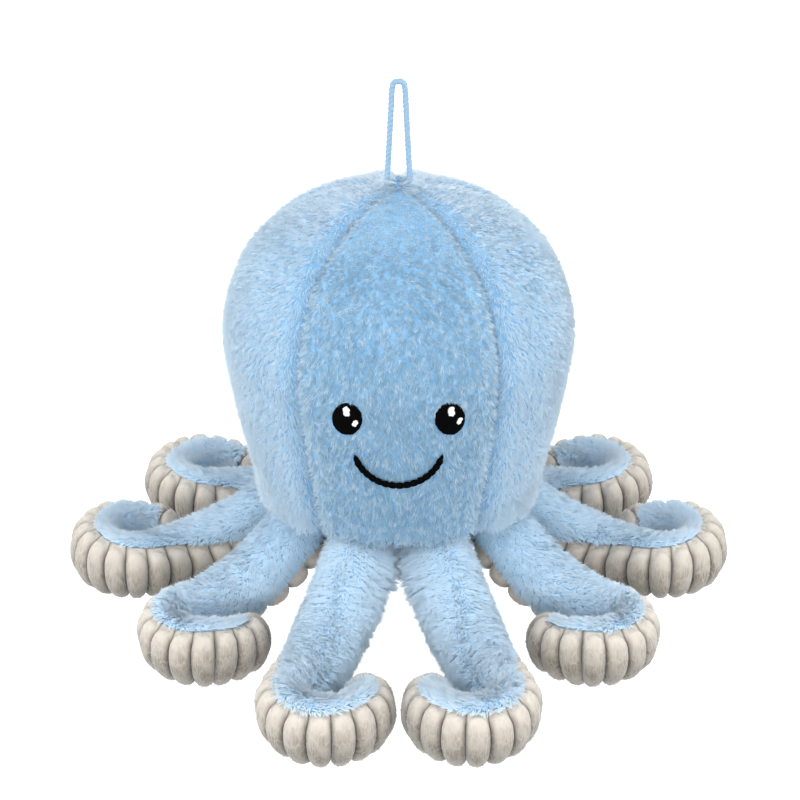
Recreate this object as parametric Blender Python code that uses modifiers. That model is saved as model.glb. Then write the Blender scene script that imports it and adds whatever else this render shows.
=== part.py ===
"""A stuffed plush octopus that hangs from a cord loop at its crown.

The head is five sewn gores of long-pile plush over a fibre filling, closed below by a flat
base panel, with an embroidered face on the front gore. Eight arms are sewn in under the
head's rim. Each is a plush strip on top joined to a ribbed strip underneath, stuffed, with
its end curled sideways, and it swings up and down at its sewn root.

Metres, +Z up. The origin is where the loop bears on what holds it, and the face looks
along -Y. Left and right are those of someone facing the toy. Heights are measured up from
the plane that the arms reach down to."""

import math

import bmesh
import bpy
from mathutils import Matrix, Vector

mm = 0.001

# Cloth and sewing
plush_thickness = 5 * mm
sewn_gap = 0.3 * mm
filling_gap = 1.6 * mm

# Head
gore_count = 5
head_radius = 85.5 * mm
head_height = 162 * mm
base_height = 64.5 * mm
crown_hole_radius = 3 * mm
seam_depth_share = 0.055
gore_columns = 6
gore_rows = 10
filling_columns = 20
filling_rows = 10
filling_side_share = 0.8

# Radius as a share of head_radius, height above the base as a share of head_height
head_profile_shares = (
    (0.0, 1.0),
    (0.142, 0.968),
    (0.355, 0.944),
    (0.608, 0.882),
    (0.836, 0.781),
    (0.95, 0.666),
    (1.0, 0.528),
    (0.972, 0.385),
    (0.897, 0.185),
    (0.805, 0.0),
)

# Face, stitched on the front gore
eye_height = 136 * mm
eye_spacing = 47.6 * mm
eye_width = 14.4 * mm
eye_length = 16.4 * mm
eye_tilt = math.radians(6)
stitch_thickness = 0.9 * mm
stitch_gap = 0.6 * mm
glint_thickness = 0.5 * mm
smile_drop = 36 * mm
smile_radius = 21 * mm
smile_half_angle = math.radians(78)
smile_thread_radius = 1.35 * mm
smile_point_count = 15

# Each glint: name, place across and up from the eye's middle, and its radius
glints = (
    ("upper", 0.3 * mm, 4.4 * mm, 2.3 * mm),
    ("lower", 3.9 * mm, -1.3 * mm, 1.6 * mm),
)

# Hanging loop
cord_radius = 1.5 * mm
loop_rise = 45 * mm
loop_foot_spacing = 11 * mm
loop_bend_radius = 3 * mm
loop_point_count = 26

# Arms
root_circle_radius = 54 * mm
root_radius = 18.3 * mm
side_seam_gap = 0.5 * mm
drop_length = 80 * mm
rib_pitch = 12 * mm
rib_depth = 1.8 * mm
roll_start = 12 * mm
curl_roll = math.radians(56)
tip_roll = math.radians(32)
steps_per_rib = 24
ball_rings = 3
half_points = 5
smallest_ring_share = 0.2

# Each pair of arms: where it is sewn in, which way it sets out and which way it swings, as
# azimuths from the front, how far its run bends away from its curl, the side that it curls
# to (+1 front, -1 back), the lengths of its run and its curl, the curl's first and last
# radius, and how far its end stays above the lowest plane
arm_pairs = {
    "front": (21, 22, 0, -4, 1, 98 * mm, 73 * mm, 17 * mm, 21.2 * mm, 0),
    "front_side": (66.5, 49, 55, 13, 1, 72 * mm, 78 * mm, 17.7 * mm, 22.6 * mm, 1.5 * mm),
    "rear_side": (112, 91, 95, 40, -1, 87 * mm, 90 * mm, 19.2 * mm, 24.4 * mm, 2.5 * mm),
    "rear": (157.5, 124, 127, 46, -1, 88.5 * mm, 96 * mm, 21.7 * mm, 24.4 * mm, 2 * mm),
}

# Half the width and half the height of an arm, at places 0 to 1 along its run and 1 to 2
# along its curl
arm_sizes = (
    (0.0, root_radius, root_radius),
    (0.45, 19.2 * mm, 16.5 * mm),
    (0.8, 17.8 * mm, 16.5 * mm),
    (1.0, 15.8 * mm, 17.2 * mm),
    (1.15, 13.8 * mm, 17.8 * mm),
    (1.7, 13 * mm, 17.4 * mm),
    (2.0, 11.8 * mm, 14.5 * mm),
)

gore_angle = 2 * math.pi / gore_count
root_height = base_height - sewn_gap - root_radius
hang_height = base_height + head_height + loop_rise
up = Vector((0, 0, 1))


def clear_scene():
    for obj in list(bpy.data.objects):
        bpy.data.objects.remove(obj)


def make_collection(name):
    collection = bpy.data.collections.new(name)
    bpy.context.scene.collection.children.link(collection)
    return collection


def cloth(name, colour, roughness):
    material = bpy.data.materials.new(name)
    material.use_nodes = True
    shader = material.node_tree.nodes["Principled BSDF"]
    shader.inputs["Base Color"].default_value = (*colour, 1)
    shader.inputs["Roughness"].default_value = roughness
    shader.inputs["Metallic"].default_value = 0
    material.diffuse_color = (*colour, 1)
    return material


def add_object(name, data, material, collection):
    data.materials.append(material)
    obj = bpy.data.objects.new(name, data)
    collection.objects.link(obj)
    return obj


def mesh_from(bm, name):
    bmesh.ops.recalc_face_normals(bm, faces=bm.faces)
    mesh = bpy.data.meshes.new(name)
    bm.to_mesh(mesh)
    bm.free()
    mesh.shade_smooth()
    mesh.set_sharp_from_angle(angle=math.radians(50))
    return mesh


def outward(azimuth, side=1):
    """The level direction at an azimuth from the front, towards the right for side 1."""
    return Vector((side * math.sin(azimuth), -math.cos(azimuth), 0))


def level(height):
    """A height above the arms' lowest plane as a world Z."""
    return up * (height - hang_height)


def smooth_curve(points, count, closeness=24):
    """Evenly spaced points of a smooth curve through the given ones."""
    first = 2 * points[0] - points[1]
    last = 2 * points[-1] - points[-2]
    guides = [first, *points, last]
    fine = []
    for a, b, c, d in zip(guides, guides[1:], guides[2:], guides[3:]):
        for step in range(closeness):
            t = step / closeness
            bend = (c - a) * t + (2 * a - 5 * b + 4 * c - d) * t**2 + (3 * b - a - 3 * c + d) * t**3
            fine.append(b + bend / 2)
    fine.append(points[-1])
    reach = [0.0]
    for a, b in zip(fine, fine[1:]):
        reach.append(reach[-1] + (b - a).length)
    even, at = [], 0
    for index in range(count):
        wanted = reach[-1] * index / (count - 1)
        while at < len(fine) - 2 and reach[at + 1] < wanted:
            at += 1
        share = (wanted - reach[at]) / (reach[at + 1] - reach[at])
        even.append(fine[at].lerp(fine[at + 1], share))
    return even


def head_profile(count):
    """Points (radius, height) down the middle of a gore, from the crown to the base."""
    guides = [
        Vector((radius * head_radius, base_height + height * head_height))
        for radius, height in head_profile_shares
    ]
    return smooth_curve(guides, count)


def profile_at(share, profile):
    """A point at a share of the way down a profile."""
    place = share * (len(profile) - 1)
    index = min(int(place), len(profile) - 2)
    return profile[index].lerp(profile[index + 1], place - index)


def seam_share(azimuth):
    """0 in the middle of a gore, 1 on a seam."""
    turn = azimuth / gore_angle
    return 2 * abs(turn - round(turn))


def lobed(radius, share):
    """A gore's radius, drawn in towards its seams."""
    return radius * (1 - seam_depth_share * share**3)


def gore(name, index, profile, material, collection):
    bm = bmesh.new()
    bmesh.ops.create_grid(bm, x_segments=gore_columns, y_segments=gore_rows, size=0.5)
    for vert in bm.verts:
        across = 2 * vert.co.x
        radius, height = profile_at(0.5 - vert.co.y, profile)
        radius = max(radius, crown_hole_radius)
        half_angle = gore_angle / 2 - math.asin(sewn_gap / 2 / radius)
        azimuth = index * gore_angle + across * half_angle
        vert.co = outward(azimuth) * lobed(radius, abs(across)) + level(height)
    bm.normal_update()
    middle = max(bm.faces, key=lambda face: face.calc_area())
    if middle.normal.dot(outward(index * gore_angle)) < 0:
        bmesh.ops.reverse_faces(bm, faces=bm.faces)
    mesh = bpy.data.meshes.new(name)
    bm.to_mesh(mesh)
    bm.free()
    mesh.shade_smooth()
    panel = add_object(name, mesh, material, collection)
    shell = panel.modifiers.new("plush", "SOLIDIFY")
    shell.thickness = plush_thickness
    shell.offset = -1
    return panel


def head_filling(name, profile, material, collection):
    """The fibre filling, a lobed bulb just inside the gores and above the base panel."""
    depth = plush_thickness + filling_gap
    floor = base_height + plush_thickness + sewn_gap
    inner = []
    for a, b in zip(profile, profile[1:]):
        along = (b - a).normalized()
        point = (a + b) / 2 + Vector((along.y, -along.x)) * depth
        if point.x > 0 and point.y > floor:
            inner.append(point)
    inner.insert(0, Vector((0, inner[0].y)))
    inner.append(Vector((inner[-1].x, floor)))
    bm = bmesh.new()
    bmesh.ops.create_uvsphere(
        bm, u_segments=filling_columns, v_segments=filling_rows, radius=1
    )
    for vert in bm.verts:
        azimuth = math.atan2(vert.co.x, -vert.co.y)
        share = math.acos(max(-1, min(1, vert.co.z))) / math.pi
        if share <= filling_side_share:
            radius, height = profile_at(share / filling_side_share, inner)
        else:
            radius = inner[-1].x * (1 - share) / (1 - filling_side_share)
            height = floor
        if math.hypot(vert.co.x, vert.co.y) < 1e-4:
            radius = 0
        vert.co = outward(azimuth) * lobed(radius, seam_share(azimuth)) + level(height)
    return add_object(name, mesh_from(bm, name), material, collection)


def base_panel(name, profile, material, collection):
    """The flat panel that closes the head, cut to the gores' lobed rim."""
    bm = bmesh.new()
    bmesh.ops.create_cone(
        bm,
        cap_ends=True,
        segments=gore_count * gore_columns,
        radius1=1,
        radius2=1,
        depth=plush_thickness,
    )
    turned_in = plush_thickness + sewn_gap + filling_gap
    middle_height = base_height + plush_thickness / 2
    for vert in bm.verts:
        azimuth = math.atan2(vert.co.x, -vert.co.y)
        radius = lobed(profile[-1].x, seam_share(azimuth)) - turned_in
        vert.co = outward(azimuth) * radius + level(middle_height + vert.co.z)
    return add_object(name, mesh_from(bm, name), material, collection)


def radius_at(height, profile):
    """The middle radius of a gore at a height below its widest point."""
    for a, b in zip(reversed(profile), reversed(profile[:-1])):
        if b.y >= height:
            return a.lerp(b, (height - a.y) / (b.y - a.y)).x
    return profile[0].x


def on_face(across, height, lift, profile):
    """A point of the front gore, lifted off its surface."""
    radius = radius_at(height, profile)
    azimuth = math.asin(across / radius)
    surface = lobed(radius, 2 * abs(azimuth) / gore_angle)
    return outward(azimuth) * (surface + lift) + level(height)


def stitched_oval(name, centre, half_size, tilt, lift, thickness, segments, profile, material, collection):
    """A satin-stitched oval pad that follows the front gore."""
    bm = bmesh.new()
    bmesh.ops.create_cone(
        bm, cap_ends=True, cap_tris=True, segments=segments, radius1=1, radius2=1, depth=1
    )
    rim_shrink_share = 0.12
    for vert in bm.verts:
        raised = vert.co.z > 0
        shrink = 1 - rim_shrink_share if raised else 1
        across = vert.co.x * half_size[0] * shrink
        along = vert.co.y * half_size[1] * shrink
        x = centre[0] + across * math.cos(tilt) - along * math.sin(tilt)
        height = centre[1] + across * math.sin(tilt) + along * math.cos(tilt)
        vert.co = on_face(x, height, lift + (thickness if raised else 0), profile)
    return add_object(name, mesh_from(bm, name), material, collection)


def corded(name, points, radius, material, collection):
    """A round cord or thread along a list of points."""
    curve = bpy.data.curves.new(name, "CURVE")
    curve.dimensions = "3D"
    curve.bevel_depth = radius
    curve.bevel_resolution = 2
    curve.use_fill_caps = True
    spline = curve.splines.new("POLY")
    spline.points.add(len(points) - 1)
    for knot, point in zip(spline.points, points):
        knot.co = (*point, 1)
    return add_object(name, curve, material, collection)


def smile(name, profile, material, collection):
    """The mouth, a thick stitched arc."""
    lift = smile_thread_radius + stitch_gap
    points = []
    for index in range(smile_point_count):
        angle = smile_half_angle * (2 * index / (smile_point_count - 1) - 1)
        across = smile_radius * math.sin(angle)
        height = eye_height - smile_drop + smile_radius * (1 - math.cos(angle))
        points.append(on_face(across, height, lift, profile))
    return corded(name, points, smile_thread_radius, material, collection)


def crown_height_at(radius, profile):
    """The height of the head's top at a small radius."""
    for a, b in zip(profile, profile[1:]):
        if b.x >= radius:
            return a.lerp(b, (radius - a.x) / (b.x - a.x)).y
    return profile[-1].y


def loop_route(profile):
    """Up one strand, round the bend and down the other. The feet are sewn in under the pile."""
    across = loop_foot_spacing / 2
    ahead = -across / math.tan(gore_angle)
    foot_height = crown_height_at(math.hypot(across, ahead), profile)
    buried = foot_height - plush_thickness + sewn_gap
    bend_height = hang_height + cord_radius - loop_bend_radius
    strand = [Vector((across, ahead, buried)), Vector((across, ahead, foot_height))]
    top = Vector((loop_bend_radius, 0, bend_height))
    strand += [strand[-1].lerp(top, share) for share in (0.35, 0.7)]
    turn = [
        Vector((math.cos(angle), 0, math.sin(angle))) * loop_bend_radius + up * bend_height
        for angle in (0, math.pi / 4, math.pi / 2)
    ]
    half = strand + turn
    other = [Vector((-point.x, point.y, point.z)) for point in reversed(half[:-1])]
    return [point - up * hang_height for point in smooth_curve(half + other, loop_point_count)]


def cut_loop_holes(gores, route, collection):
    """A hole through the plush for each foot of the loop."""
    for side, panel, foot in (("right", gores[1], route[0]), ("left", gores[-1], route[-1])):
        bpy.ops.mesh.primitive_cylinder_add(
            vertices=12,
            radius=cord_radius + sewn_gap,
            depth=4 * plush_thickness,
            location=foot,
        )
        cutter = bpy.context.object
        cutter.name = f"loop_hole_cutter_{side}"
        cutter.hide_render = True
        cutter.display_type = "WIRE"
        for holder in list(cutter.users_collection):
            holder.objects.unlink(cutter)
        collection.objects.link(cutter)
        hole = panel.modifiers.new("loop_hole", "BOOLEAN")
        hole.operation = "DIFFERENCE"
        hole.solver = "EXACT"
        hole.object = cutter


def arm_size(place):
    """Half the width and half the height of an arm at a place along it."""
    for before, after in zip(arm_sizes, arm_sizes[1:]):
        if place <= after[0]:
            break
    share = min(1, (place - before[0]) / (after[0] - before[0]))
    return [a + (b - a) * share for a, b in zip(before[1:], after[1:])]


def arm_path(pair, side):
    """One arm at each groove and each crest of its ribs: its middle, the way along it, the way
    its fur faces and its size. The ribs are evenly spaced on its outer side."""
    root, aim, _, bend, hand, run, curl, first_curl_radius, last_curl_radius, rise = arm_pairs[pair]
    length = run + curl
    steps = steps_per_rib * round(length / rib_pitch)
    step = length / steps
    ahead = outward(math.radians(aim), side)
    to_curl = ahead.cross(up) * (side * hand)
    place = outward(math.radians(root), side) * root_circle_radius
    heading, outer_reach = 0.0, 0.0
    middles, sizes, rolls, outer_reaches = [], [], [], []
    for index in range(steps + 1):
        reach = index * step
        size = arm_size(reach / run if reach <= run else 1 + (reach - run) / curl)
        fall = math.sin(math.pi / 2 * min(1, reach / drop_length))
        height = size[1] + rise + (root_height - root_radius - rise) * (1 - fall)
        if middles:
            level_step = math.sqrt(step**2 - (height - last_height) ** 2)
            place = place + (ahead * math.cos(heading) + to_curl * math.sin(heading)) * level_step
        curled = max(0, (reach - run) / curl)
        if reach < run:
            turn = -math.radians(bend) * step / run
        else:
            turn = step * ((1 - curled) / first_curl_radius + curled / last_curl_radius)
        rolled = max(0, min(1, (reach - roll_start) / (run - roll_start)))
        roll = curl_roll * rolled**2 * (3 - 2 * rolled) + tip_roll * curled**2
        outer_reaches.append(outer_reach)
        heading += turn
        outer_reach += step + size[0] * math.sin(roll) * turn
        last_height = height
        middles.append(place + level(height))
        sizes.append(size)
        rolls.append(roll)
    path = []
    halves = 2 * round(outer_reaches[-1] / rib_pitch)
    for half in range(halves + 1):
        wanted = outer_reaches[-1] * half / halves
        index = min(range(steps + 1), key=lambda i: abs(outer_reaches[i] - wanted))
        along = (middles[min(index + 1, steps)] - middles[max(index - 1, 0)]).normalized()
        inner = along.cross(up).normalized() * (side * hand)
        above = (up - along * along.z).normalized()
        fur = above * math.cos(rolls[index]) + inner * math.sin(rolls[index])
        path.append((middles[index], along, fur, sizes[index]))
    return path


def half_ring(middle, along, fur, half, width, height):
    """One oval section of an arm's half (1 above the joining seams, -1 below), from its left to
    its right, of half a width and half a height."""
    across = fur.cross(along)
    above = (up - along * along.z).normalized()
    beside = above.cross(along)
    start = math.asin(side_seam_gap / 2 / min(width, height))
    ring = []
    for index in range(half_points):
        angle = start + (math.pi - 2 * start) * index / (half_points - 1)
        way = across * math.cos(angle) + fur * (math.sin(angle) * half)
        ring.append(middle + above * way.dot(above) * height + beside * way.dot(beside) * width)
    return ring


def arm_sections(path, half):
    """Half rings from the ball at the root to the rounded tip, with ribs below."""
    rings = []
    middle, along, fur, (width, height) = path[0]
    for index in range(ball_rings):
        angle = math.pi / 2 * (index + smallest_ring_share) / ball_rings
        centre = middle - along * width * math.cos(angle)
        size = (width * math.sin(angle), height * math.sin(angle))
        rings.append(half_ring(centre, along, fur, half, *size))
    for index, (middle, along, fur, (width, height)) in enumerate(path):
        ribbed = half < 0 and index % 2 == 0 and 0 < index < len(path) - 1
        groove = rib_depth if ribbed else 0
        rings.append(half_ring(middle, along, fur, half, width - groove, height - groove))
    for index in range(1, ball_rings):
        angle = math.pi / 2 * index / ball_rings
        centre = middle + along * width * math.sin(angle)
        size = (width * math.cos(angle), height * math.cos(angle))
        rings.append(half_ring(centre, along, fur, half, *size))
    return rings


def lofted(name, rings, origin, material, collection):
    """A closed solid through a row of open rings. The two halves of an arm share the diagonals of
    the twisted face between them."""
    bm = bmesh.new()
    rows = [[bm.verts.new(point - origin) for point in ring] for ring in rings]
    for first, second in zip(rows, rows[1:]):
        for index in range(len(first) - 1):
            bm.faces.new((first[index], first[index + 1], second[index + 1], second[index]))
        bm.faces.new((first[-1], first[0], second[-1]))
        bm.faces.new((first[0], second[0], second[-1]))
    bm.faces.new(reversed(rows[0]))
    bm.faces.new(rows[-1])
    return add_object(name, mesh_from(bm, name), material, collection)


def arm(pair, side, fur_cloth, rib_cloth, collection):
    """One arm: its plush top strip and ribbed underside, carried by a hinge at its root."""
    name = f"arm_{pair}_{'right' if side > 0 else 'left'}"
    path = arm_path(pair, side)
    pivot = path[0][0]
    swing = outward(math.radians(arm_pairs[pair][2]), side)
    hinge = bpy.data.objects.new(f"{name}_hinge", None)
    hinge.location = pivot
    hinge.rotation_euler = swing.cross(up).to_track_quat("X", "Z").to_euler()
    hinge.empty_display_size = root_radius
    collection.objects.link(hinge)
    bpy.context.view_layer.update()
    for part, half, material in (("top", 1, fur_cloth), ("underside", -1, rib_cloth)):
        strip = lofted(f"{name}_{part}", arm_sections(path, half), pivot, material, collection)
        strip.parent = hinge
        strip.matrix_parent_inverse = hinge.rotation_euler.to_matrix().inverted().to_4x4()


def octopus():
    clear_scene()
    toy = make_collection("plush_octopus")
    cutters = make_collection("cutters")
    blue_plush = cloth("blue_plush", (0.42, 0.65, 0.86), 0.95)
    cream_plush = cloth("cream_ribbed_plush", (0.78, 0.74, 0.66), 0.92)
    fibre = cloth("fibre_filling", (0.9, 0.9, 0.88), 1.0)
    black_thread = cloth("black_thread", (0.01, 0.01, 0.012), 0.5)
    white_thread = cloth("white_thread", (0.92, 0.92, 0.92), 0.6)
    blue_cord = cloth("blue_cord", (0.3, 0.58, 0.85), 0.8)

    profile = head_profile(61)
    gore_names = ("front", "right", "rear_right", "rear_left", "left")
    gores = [
        gore(f"head_gore_{name}", index, profile, blue_plush, toy)
        for index, name in enumerate(gore_names)
    ]
    head_filling("head_filling", profile, fibre, toy)
    base_panel("base_panel", profile, blue_plush, toy)

    for place, side in (("left", -1), ("right", 1)):
        middle = (side * eye_spacing / 2, eye_height)
        half = (eye_width / 2, eye_length / 2)
        tilt = -side * eye_tilt
        stitched_oval(
            f"eye_{place}", middle, half, tilt, stitch_gap, stitch_thickness, 20, profile, black_thread, toy
        )
        for name, across, rise, radius in glints:
            spot = (middle[0] + across, middle[1] + rise)
            lift = stitch_gap + stitch_thickness + sewn_gap
            stitched_oval(
                f"eye_glint_{name}_{place}",
                spot,
                (radius * 0.85, radius),
                0,
                lift,
                glint_thickness,
                12,
                profile,
                white_thread,
                toy,
            )
    smile("smile", profile, black_thread, toy)

    route = loop_route(profile)
    corded("hanging_loop", route, cord_radius, blue_cord, toy)
    cut_loop_holes(gores, route, cutters)

    for pair in arm_pairs:
        for side in (-1, 1):
            arm(pair, side, blue_plush, cream_plush, toy)


octopus()
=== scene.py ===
from math import cos, hypot, pi, radians, sin, sqrt

import bpy
import numpy as np
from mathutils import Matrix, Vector


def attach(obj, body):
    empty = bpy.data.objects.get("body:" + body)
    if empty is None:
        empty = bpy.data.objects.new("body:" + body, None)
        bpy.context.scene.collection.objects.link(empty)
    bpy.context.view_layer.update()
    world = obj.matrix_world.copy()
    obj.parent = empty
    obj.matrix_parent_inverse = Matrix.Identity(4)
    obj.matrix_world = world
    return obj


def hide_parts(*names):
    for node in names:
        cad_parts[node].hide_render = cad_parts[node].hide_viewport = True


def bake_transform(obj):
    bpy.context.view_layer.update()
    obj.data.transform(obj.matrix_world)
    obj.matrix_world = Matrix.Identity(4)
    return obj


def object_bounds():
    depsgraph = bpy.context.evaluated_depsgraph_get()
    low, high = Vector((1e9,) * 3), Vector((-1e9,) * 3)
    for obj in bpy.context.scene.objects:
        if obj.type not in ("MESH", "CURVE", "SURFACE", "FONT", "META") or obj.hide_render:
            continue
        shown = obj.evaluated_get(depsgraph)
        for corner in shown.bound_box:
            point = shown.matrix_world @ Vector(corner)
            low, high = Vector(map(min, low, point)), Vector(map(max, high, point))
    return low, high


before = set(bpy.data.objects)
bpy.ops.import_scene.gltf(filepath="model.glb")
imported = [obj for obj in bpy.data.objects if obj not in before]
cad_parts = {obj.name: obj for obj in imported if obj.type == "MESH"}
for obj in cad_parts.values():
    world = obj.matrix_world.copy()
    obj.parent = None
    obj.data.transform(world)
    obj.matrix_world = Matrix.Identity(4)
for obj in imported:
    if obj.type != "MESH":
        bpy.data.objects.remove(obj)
cad_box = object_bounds()
scene = bpy.context.scene
mm = 0.001

# Camera
# It looks a little down on the toy from straight in front, through a long lens.
bpy.ops.object.camera_add(location=(0.0007, -0.99694, 0.30138), rotation=(radians(65), 0, 0))
camera = bpy.context.object
camera.name = "front_camera"
camera.data.lens = 99
camera.data.sensor_width = 36
scene.camera = camera

# Hanging loop
# A cord of three twisted strands, folded double. Both feet are sewn in under the pile of the
# crown, and the fold is drawn tight over the thin support that the toy hangs from.
cord_radius = 1.5 * mm
strand_count = 3
strand_twist_length = 7 * mm
loop_half = np.array([
    (5.5, -1.787, -52.9), (5.508, -1.793, -48.393), (5.288, -1.635, -43.891),
    (5.042, -1.459, -39.392), (4.791, -1.28, -34.893), (4.547, -1.106, -30.393),
    (4.306, -0.933, -25.893), (4.065, -0.761, -21.393), (3.824, -0.589, -16.893),
    (3.595, -0.416, -12.392), (3.388, -0.24, -7.89), (3.149, -0.067, -3.39),
    (2.056, 0.0, 0.684),
]) * mm
loop_route = np.vstack([loop_half, loop_half[::-1] * (-1, 1, 1)])


def even_curve(knots, count):
    """Evenly spaced points of a smooth curve through the knots."""
    knots = np.array(knots, float)
    guides = np.vstack([2 * knots[0] - knots[1], knots, 2 * knots[-1] - knots[-2]])
    t = (np.arange(24) / 24)[:, None]
    spans = [
        b + ((c - a) * t + (2 * a - 5 * b + 4 * c - d) * t**2 + (3 * b - a - 3 * c + d) * t**3) / 2
        for a, b, c, d in zip(guides, guides[1:], guides[2:], guides[3:])
    ]
    fine = np.vstack([*spans, knots[-1:]])
    reach = np.append(0, np.cumsum(np.linalg.norm(np.diff(fine, axis=0), axis=1)))
    wanted = np.linspace(0, reach[-1], count)
    return np.column_stack([np.interp(wanted, reach, column) for column in fine.T])


def unit(vectors):
    return vectors / np.maximum(np.linalg.norm(vectors, axis=-1, keepdims=True), 1e-12)


def fade(value, start, end):
    """From 0 at start to 1 at end, and level beyond them."""
    return np.clip((value - start) / (end - start), 0, 1)


def bell(value, width):
    """From 1 at a value of 0 down to almost 0 at twice the width."""
    return np.exp(-((value / width) ** 2))


def mesh_piece(name, points, faces, uv=None, uv_name="cloth"):
    """A smooth mesh object of quads or triangles, with a UV for each point if given."""
    points, faces = np.asarray(points, np.float32), np.asarray(faces, np.int32)
    mesh = bpy.data.meshes.new(name)
    piece = bpy.data.objects.new(name, mesh)
    mesh.vertices.add(len(points))
    place_points(piece, points)
    mesh.loops.add(faces.size)
    mesh.loops.foreach_set("vertex_index", faces.ravel())
    mesh.polygons.add(len(faces))
    mesh.polygons.foreach_set("loop_start", np.arange(0, faces.size, faces.shape[1]))
    mesh.update(calc_edges=True)
    if uv is not None:
        layer = mesh.uv_layers.new(name=uv_name)
        layer.data.foreach_set("uv", np.asarray(uv, np.float32)[faces.ravel()].ravel())
    mesh.shade_smooth()
    scene.collection.objects.link(piece)
    return piece


def points_of(piece):
    """The points of a mesh object, one in a row."""
    points = np.empty(len(piece.data.vertices) * 3, np.float32)
    piece.data.vertices.foreach_get("co", points)
    return points.reshape(-1, 3)


def place_points(piece, points):
    """Put the points of a mesh object in these places."""
    piece.data.vertices.foreach_set("co", points.astype(np.float32).ravel())


def face_out(piece):
    """Turn a closed mesh's faces over if its volume shows that they point inwards."""
    mesh = piece.data
    mesh.calc_loop_triangles()
    corners = np.empty(len(mesh.loop_triangles) * 3, np.int32)
    mesh.loop_triangles.foreach_get("vertices", corners)
    points = points_of(piece)
    a, b, c = (points - points.mean(0))[corners.reshape(-1, 3)].transpose(1, 0, 2)
    if np.einsum("ij,ij->i", a, np.cross(b, c)).sum() < 0:
        mesh.flip_normals()


def ringed(name, rings, uv):
    """A closed mesh over a row of rings of points, filled at both ends."""
    index = np.arange(rings.shape[0] * rings.shape[1]).reshape(rings.shape[:2])
    after = np.roll(index, -1, axis=1)
    quads = np.stack([index[:-1], after[:-1], after[1:], index[1:]], -1).reshape(-1, 4)
    piece = mesh_piece(name, rings.reshape(-1, 3), quads, uv.reshape(-1, 2))
    bpy.ops.object.select_all(action="DESELECT")
    bpy.context.view_layer.objects.active = piece
    piece.select_set(True)
    bpy.ops.object.mode_set(mode="EDIT")
    bpy.ops.mesh.select_mode(type="VERT")
    bpy.ops.mesh.select_all(action="DESELECT")
    bpy.ops.mesh.select_non_manifold()
    bpy.ops.mesh.fill_holes(sides=0)
    bpy.ops.mesh.select_all(action="SELECT")
    bpy.ops.mesh.delete_loose()
    bpy.ops.object.mode_set(mode="OBJECT")
    face_out(piece)
    return piece


def tube(name, line, ring_of, sides):
    """A closed tube along a line, with ring_of's radii at each reach and angle."""
    along = unit(np.gradient(line, axis=0))
    side = unit(np.cross(along, (0.05, 1, 0.02)))
    other = np.cross(along, side)
    angle = np.linspace(0, 2 * pi, sides, endpoint=False)
    reach = np.append(0, np.cumsum(np.linalg.norm(np.diff(line, axis=0), axis=1)))
    radii = ring_of(reach[:, None], angle[None, :])[..., None]
    turn = angle[None, :, None]
    rings = line[:, None] + radii * (side[:, None] * np.cos(turn) + other[:, None] * np.sin(turn))
    uv = np.column_stack([np.tile(angle, len(line)) / (2 * pi), np.repeat(reach, sides) * 100])
    return ringed(name, rings, uv)


def laid_strands(reach, angle):
    """Three round strands side by side, twisted about each other."""
    turn = angle * strand_count / 2 - reach * pi * strand_count / strand_twist_length
    return cord_radius * (0.78 + 0.22 * np.abs(np.cos(turn)))


def join(tree, node, inputs):
    """Set a node's inputs to values, or join them to other nodes' outputs."""
    for key, value in dict(inputs).items():
        if isinstance(value, bpy.types.NodeSocket):
            tree.links.new(value, node.inputs[key])
        else:
            node.inputs[key].default_value = value


def put(tree, kind, inputs=(), **settings):
    """Add a shader node with these settings and inputs."""
    node = tree.nodes.new("ShaderNode" + kind)
    for key, value in settings.items():
        setattr(node, key, value)
    join(tree, node, inputs)
    return node


def noise(tree, vector, scale, detail, roughness=0.5):
    """A noise texture."""
    inputs = {"Vector": vector, "Scale": scale, "Detail": detail, "Roughness": roughness}
    return put(tree, "TexNoise", inputs)


def reckoned(tree, operation, *values):
    """The result of a sum with values or other nodes' outputs."""
    return put(tree, "Math", enumerate(values), operation=operation).outputs["Value"]


def ranged(tree, value, low, high, to_low=0, to_high=1):
    """A value brought from one range to another, and kept inside it."""
    inputs = {1: low, 2: high, 3: to_low, 4: to_high, "Value": value}
    return put(tree, "MapRange", inputs).outputs["Result"]


def mixed(tree, factor, first, second, **settings):
    """A colour mixed from two."""
    inputs = {"Factor": factor, 6: first, 7: second}
    return put(tree, "Mix", inputs, data_type="RGBA", **settings).outputs[2]


def ramp(tree, factor, stops):
    """A colour from a ramp with these places and colours."""
    node = put(tree, "ValToRGB", {"Fac": factor})
    elements = node.color_ramp.elements
    elements[0].position, elements[1].position = stops[0][0], stops[-1][0]
    for place, _ in stops[1:-1]:
        elements.new(place)
    for element, (_, colour) in zip(elements, stops):
        element.color = (*colour, 1)
    return node.outputs["Color"]


def bumped(tree, height, strength, distance, **settings):
    """The normals of a surface with small bumps of this height."""
    inputs = {"Height": height, "Strength": strength, "Distance": distance}
    return put(tree, "Bump", inputs, **settings).outputs["Normal"]


def new_material(name, colour, roughness):
    """A material, its nodes and its Principled shader."""
    material = bpy.data.materials.new(name)
    material.use_nodes = True
    material.diffuse_color = (*colour, 1)
    tree = material.node_tree
    shader = tree.nodes["Principled BSDF"]
    join(tree, shader, {"Base Color": (*colour, 1), "Roughness": roughness})
    return material, tree, shader


def sew_on(piece, material, node=None, arm=None):
    """Give a piece its material, and let it ride on the head, or fix it in its place in the world
    if it belongs to an arm. It takes the place of the CAD node, if one is named."""
    piece.data.materials.append(material)
    if node is not None:
        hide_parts(node)
    if arm is None:
        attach(piece, "head")
    else:
        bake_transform(piece)


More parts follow.
